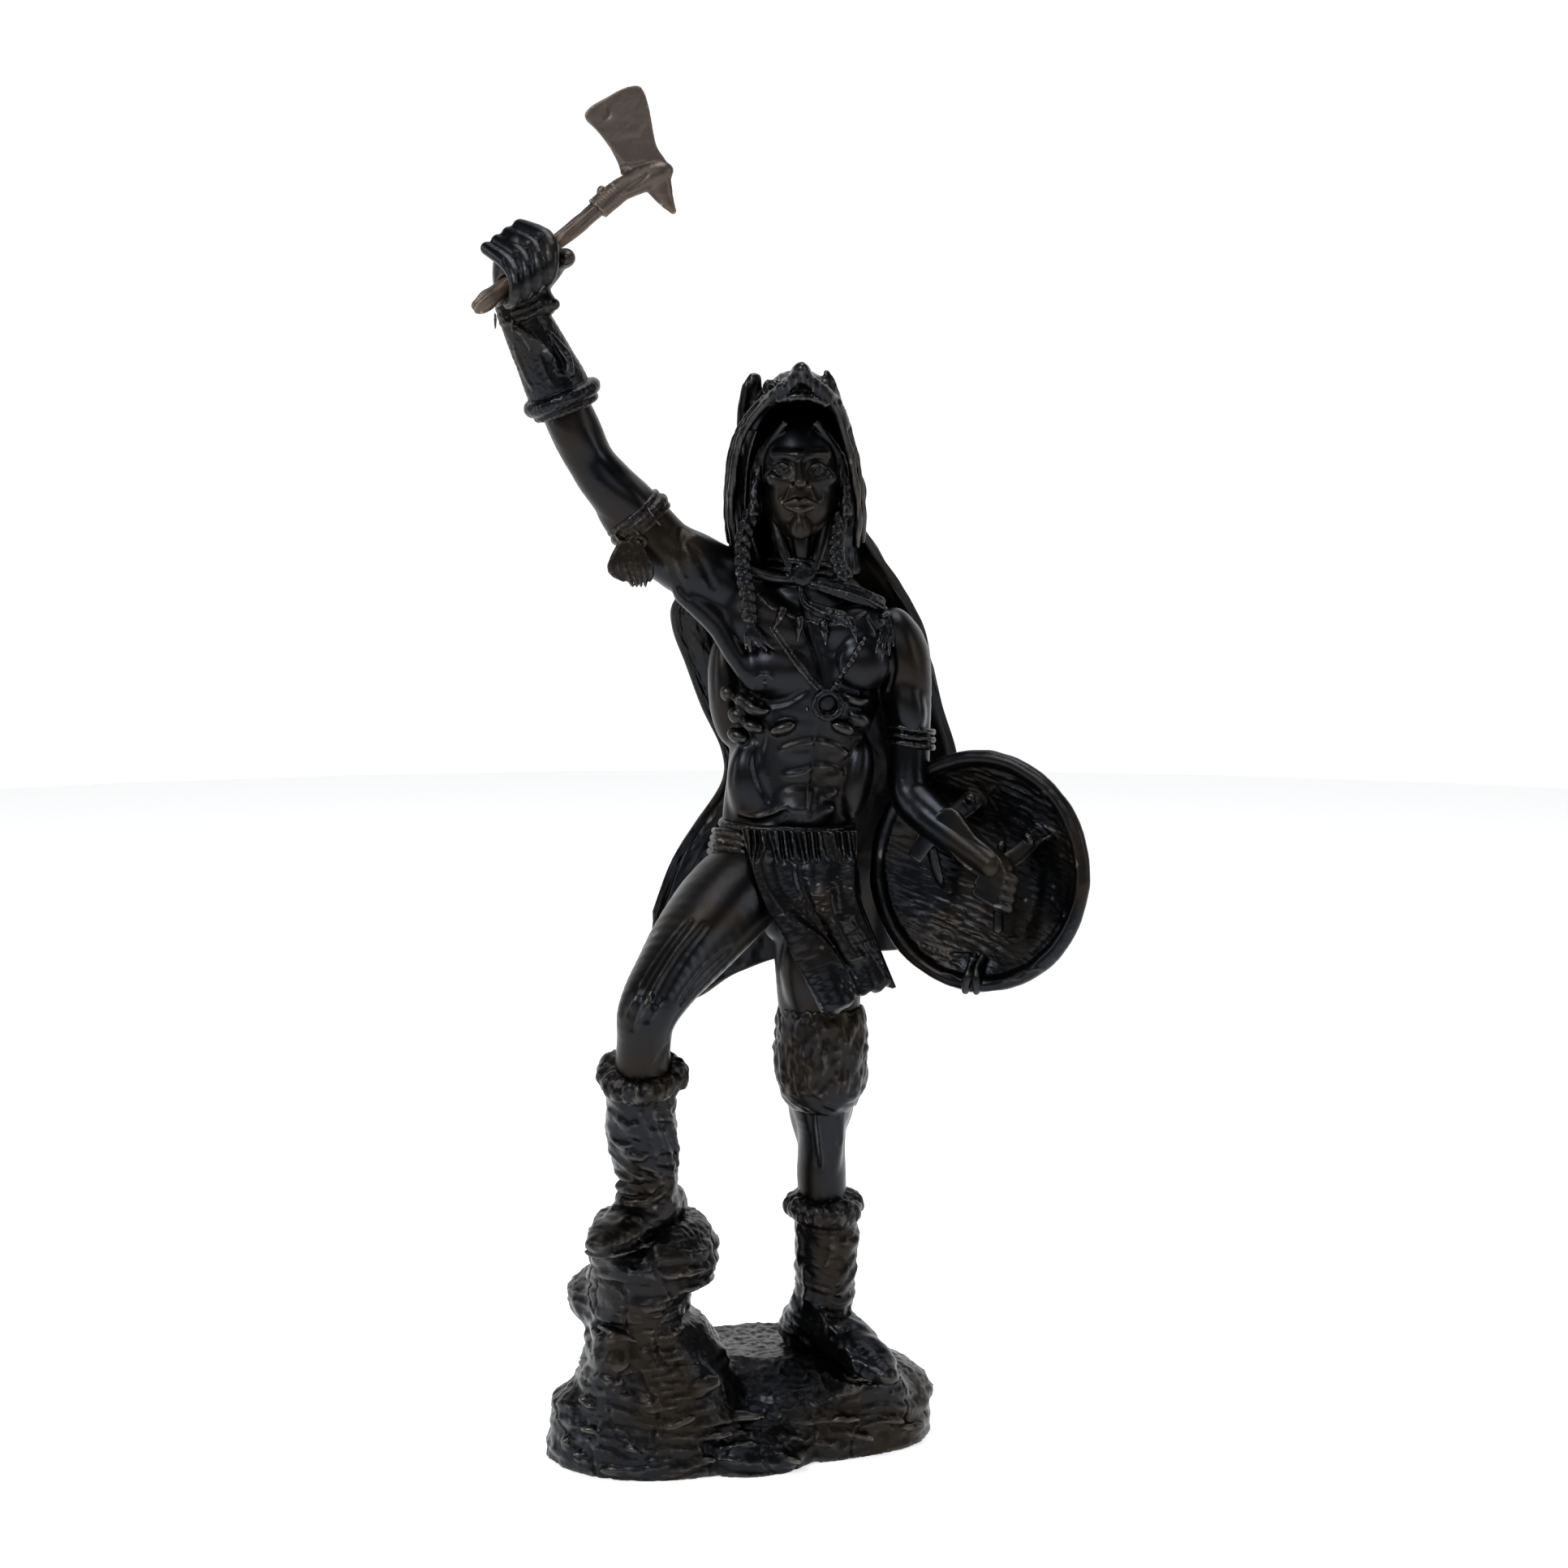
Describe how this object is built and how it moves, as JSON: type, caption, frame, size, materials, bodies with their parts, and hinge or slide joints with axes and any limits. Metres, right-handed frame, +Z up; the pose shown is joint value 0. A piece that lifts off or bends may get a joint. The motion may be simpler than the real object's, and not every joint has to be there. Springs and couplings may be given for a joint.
{
  "type": "warrior figurine",
  "caption": "Cast bronze figurine of a warrior on a rock base, axe raised in one hand and a round shield on the other arm, with an animal pelt worn as hood and cape.",
  "frame": {"origin": "on the flat underside of the rock base, below the figure", "axes": "+Z up; the figure faces -Y; its raised right hand is at -X and its shield at +X"},
  "size_m": [0.1881, 0.1116, 0.4308],
  "materials": {
    "black_patina_bronze": "cast bronze, black chemical patina under wax, satin gloss, faint brown on worn edges",
    "brown_patina_bronze": "cast bronze, dark brown patina, more matte than the figure"
  },
  "bodies": {
    "root": {"warrior": "black_patina_bronze", "axe": "brown_patina_bronze"}
  },
  "joints": []
}
